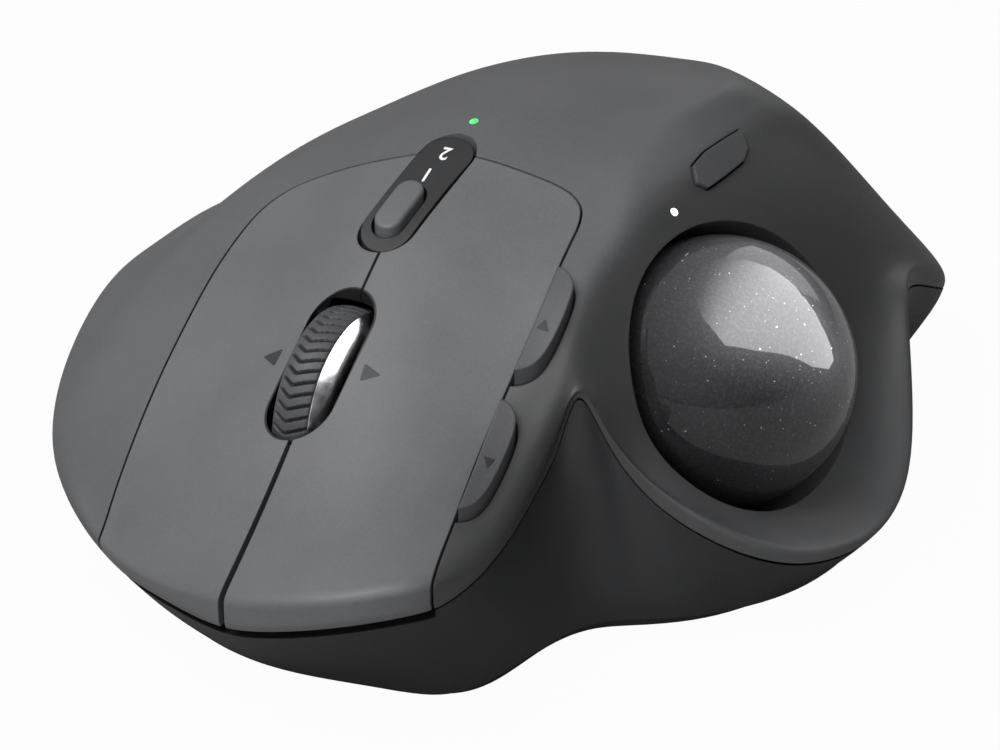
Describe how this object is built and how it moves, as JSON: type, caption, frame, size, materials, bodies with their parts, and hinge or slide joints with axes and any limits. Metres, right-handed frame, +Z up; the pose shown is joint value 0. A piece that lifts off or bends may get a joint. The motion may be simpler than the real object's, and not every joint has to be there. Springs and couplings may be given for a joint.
{
  "type": "thumb trackball mouse",
  "caption": "Right-handed thumb-operated trackball mouse: sculpted palm shell, split main buttons, tilting scroll wheel, side buttons, gloss ball in an open ring, hinged weighted base.",
  "frame": {"origin": "on the desk plane, under the middle of the footprint; centre of the rubber pad's resting face datum", "axes": "+Z up; -Y towards the button tips (away from the user), +Y towards the heel of the hand; +X towards the thumb and the ball"},
  "size_m": [0.1003, 0.1321, 0.0514],
  "materials": {
    "shell_graphite": "satin, fine grain",
    "button_graphite": "satin, fine grain",
    "lower_black": "satin",
    "bezel_gray": "satin",
    "inner_black": "matte",
    "side_black": "satin",
    "ball_pearl": "pearl, clear coat",
    "tyre_rubber": "ribbed",
    "chrome_ring": "polished",
    "steel": "brushed",
    "bearing_white": "polished ceramic look",
    "pad_rubber": "matte",
    "board_green": "solder mask",
    "switch_body": "moulded",
    "switch_white": "moulded",
    "chip_black": "moulded",
    "lens_clear": "clear",
    "lamp_green": "lit",
    "lamp_white": "lit",
    "cell_wrap": "foil",
    "acetal": "natural acetal",
    "magnet": "nickel plated"
  },
  "bodies": {
    "base": {"base_plate": "steel", "base_pad": "pad_rubber", "tilt_pins": "steel"},
    "casing": {"top_shell": "shell_graphite", "lower_shell": "lower_black", "button_deck": "inner_black", "switch_bezel": "bezel_gray", "pairing_light": "lamp_green", "precision_light": "lamp_white", "ball_cup": "inner_black", "ball_bearings": "bearing_white", "sensor_lens": "lens_clear", "optical_sensor": "chip_black", "sensor_board": "board_green", "main_board": "board_green", "left_click_switch": "switch_body", "right_click_switch": "switch_body", "wheel_click_switch": "switch_body", "side_switches": "switch_body", "side_board": "board_green", "charging_port": "steel", "charging_board": "board_green", "battery": "cell_wrap", "precision_switch": "switch_body", "channel_switch": "switch_body", "latch_magnets": "magnet", "case_screws": "steel"},
    "left_key": {"left_button": "button_graphite"},
    "right_key": {"right_button": "button_graphite"},
    "back_key": {"back_button": "side_black"},
    "forward_key": {"forward_button": "side_black"},
    "precision_key": {"precision_button": "side_black"},
    "channel_key": {"channel_button": "bezel_gray"},
    "ball": {"trackball": "ball_pearl"},
    "power_switch": {"power_slider": "acetal"},
    "wheel_press_frame": {"wheel_frame": "inner_black"},
    "wheel_tilt_frame": {"wheel_carrier": "acetal", "wheel_encoder": "switch_white"},
    "wheel": {"wheel_hub": "inner_black", "wheel_tyre": "tyre_rubber", "wheel_trim_ring": "chrome_ring", "wheel_axle": "steel"}
  },
  "joints": [
    {"name": "tilt", "type": "hinge", "parent": "base", "child": "casing", "pos_m": [-0.02, 0, 0.0033], "axis": [0, -1, 0], "range_deg": [0, 20]},
    {"name": "left_click", "type": "hinge", "parent": "casing", "child": "left_key", "pos_m": [0.0015, -0.007, 0.0425], "axis": [1, 0, 0], "range_deg": [0, 1.1], "stiffness_Nm_per_rad": 0.8},
    {"name": "right_click", "type": "hinge", "parent": "casing", "child": "right_key", "pos_m": [-0.021, -0.009, 0.041], "axis": [1, 0, 0], "range_deg": [0, 1.1], "stiffness_Nm_per_rad": 0.8},
    {"name": "back_press", "type": "slide", "parent": "casing", "child": "back_key", "axis": [0, 0, -1], "range_m": [0, 0.0005], "stiffness_N_per_m": 900},
    {"name": "forward_press", "type": "slide", "parent": "casing", "child": "forward_key", "axis": [0, 0, -1], "range_m": [0, 0.0005], "stiffness_N_per_m": 900},
    {"name": "precision_press", "type": "slide", "parent": "casing", "child": "precision_key", "axis": [-0.6555, 0.1201, -0.7456], "range_m": [0, 0.0005], "stiffness_N_per_m": 900},
    {"name": "channel_press", "type": "slide", "parent": "casing", "child": "channel_key", "axis": [0, 0, -1], "range_m": [0, 0.0005], "stiffness_N_per_m": 900},
    {"name": "ball_roll", "type": "hinge", "parent": "casing", "child": "ball", "pos_m": [0.0282, -0.0024, 0.0235], "axis": [0.8712, -0.0899, 0.4826], "continuous": true},
    {"name": "power_slide", "type": "slide", "parent": "casing", "child": "power_switch", "axis": [0, 1, 0], "range_m": [-0.0015, 0.0015]},
    {"name": "wheel_press", "type": "slide", "parent": "casing", "child": "wheel_press_frame", "axis": [0, 0, -1], "range_m": [0, 0.0005], "stiffness_N_per_m": 1500},
    {"name": "wheel_tilt", "type": "hinge", "parent": "wheel_press_frame", "child": "wheel_tilt_frame", "pos_m": [-0.0093, -0.0314, 0.0129], "axis": [0, 1, 0], "range_deg": [-1.7, 1.7], "stiffness_Nm_per_rad": 0.6},
    {"name": "wheel_spin", "type": "hinge", "parent": "wheel_tilt_frame", "child": "wheel", "pos_m": [-0.0093, -0.0314, 0.0237], "axis": [1, 0, 0], "continuous": true}
  ]
}
